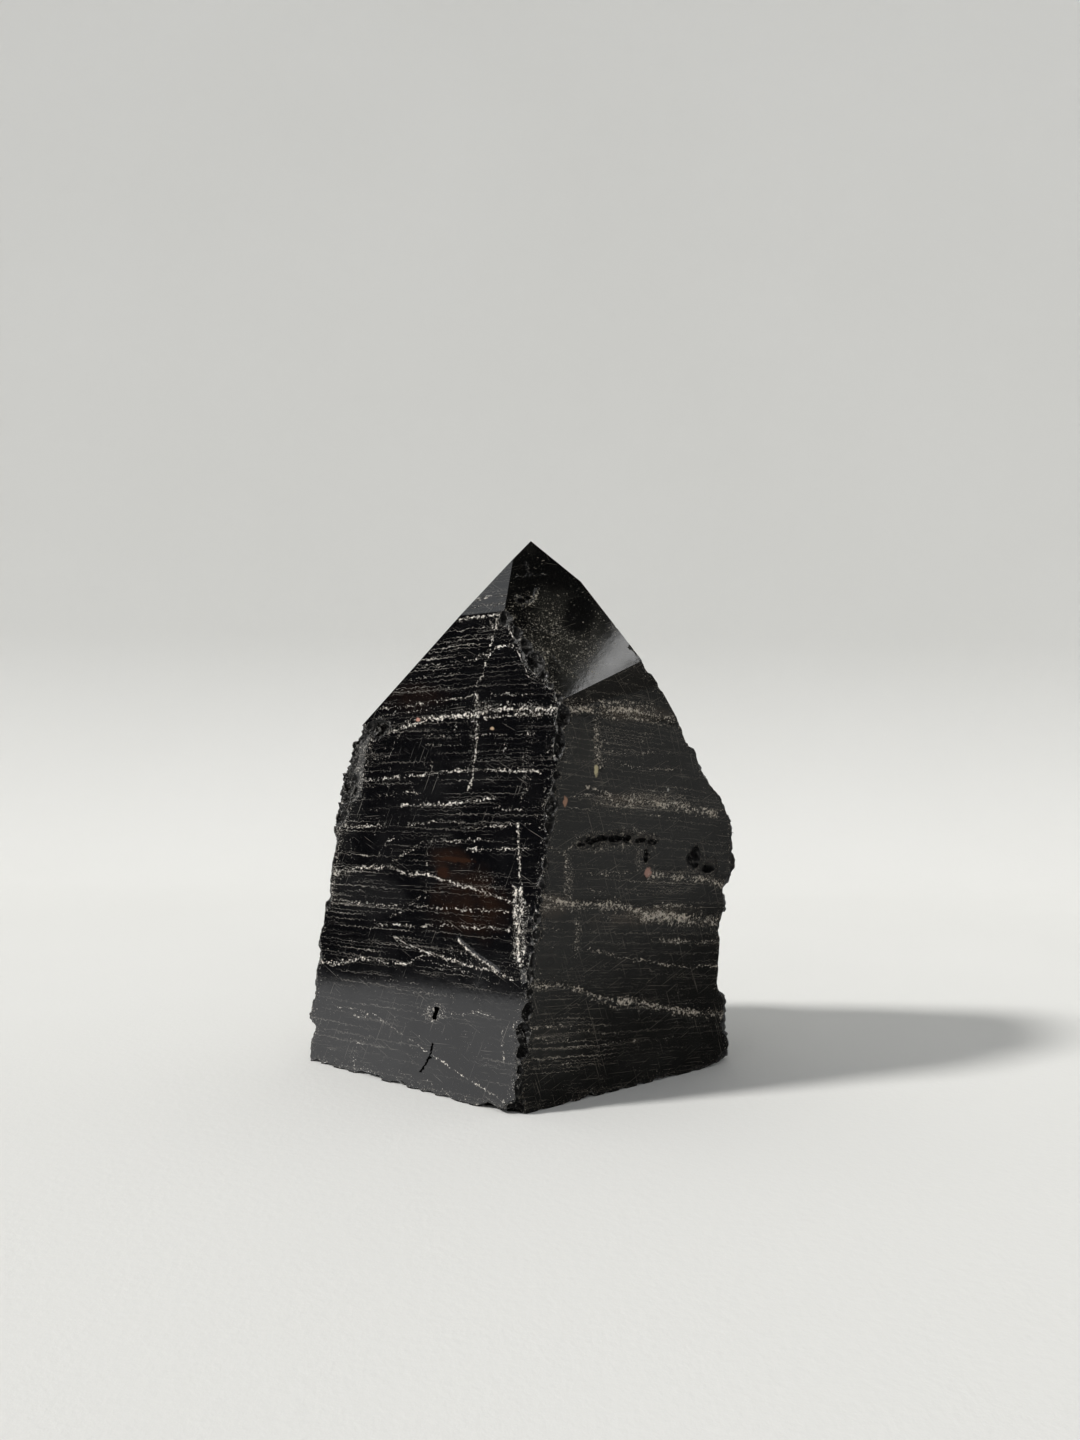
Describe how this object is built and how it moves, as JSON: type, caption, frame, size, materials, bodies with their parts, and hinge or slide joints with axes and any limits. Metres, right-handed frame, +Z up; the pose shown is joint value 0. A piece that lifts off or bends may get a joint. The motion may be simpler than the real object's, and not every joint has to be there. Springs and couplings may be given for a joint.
{
  "type": "black tourmaline point",
  "caption": "Half-polished standing point of black tourmaline: ground front faces and tip facets, raw ribbed back, chipped edges, sawn flat base.",
  "frame": {"origin": "middle of the bounding box, on the sawn base", "axes": "+Z up along the crystal, -Y the way the front edge between the two ground faces points, +X to the right of it"},
  "size_m": [0.1134, 0.0902, 0.1376],
  "materials": {
    "stone": "near-black stone, polished to a gloss on the ground faces with fine pale fracture veins and brownish seams, satin black and striated where it is raw"
  },
  "bodies": {
    "root": {"tourmaline_point": "stone"}
  },
  "joints": []
}
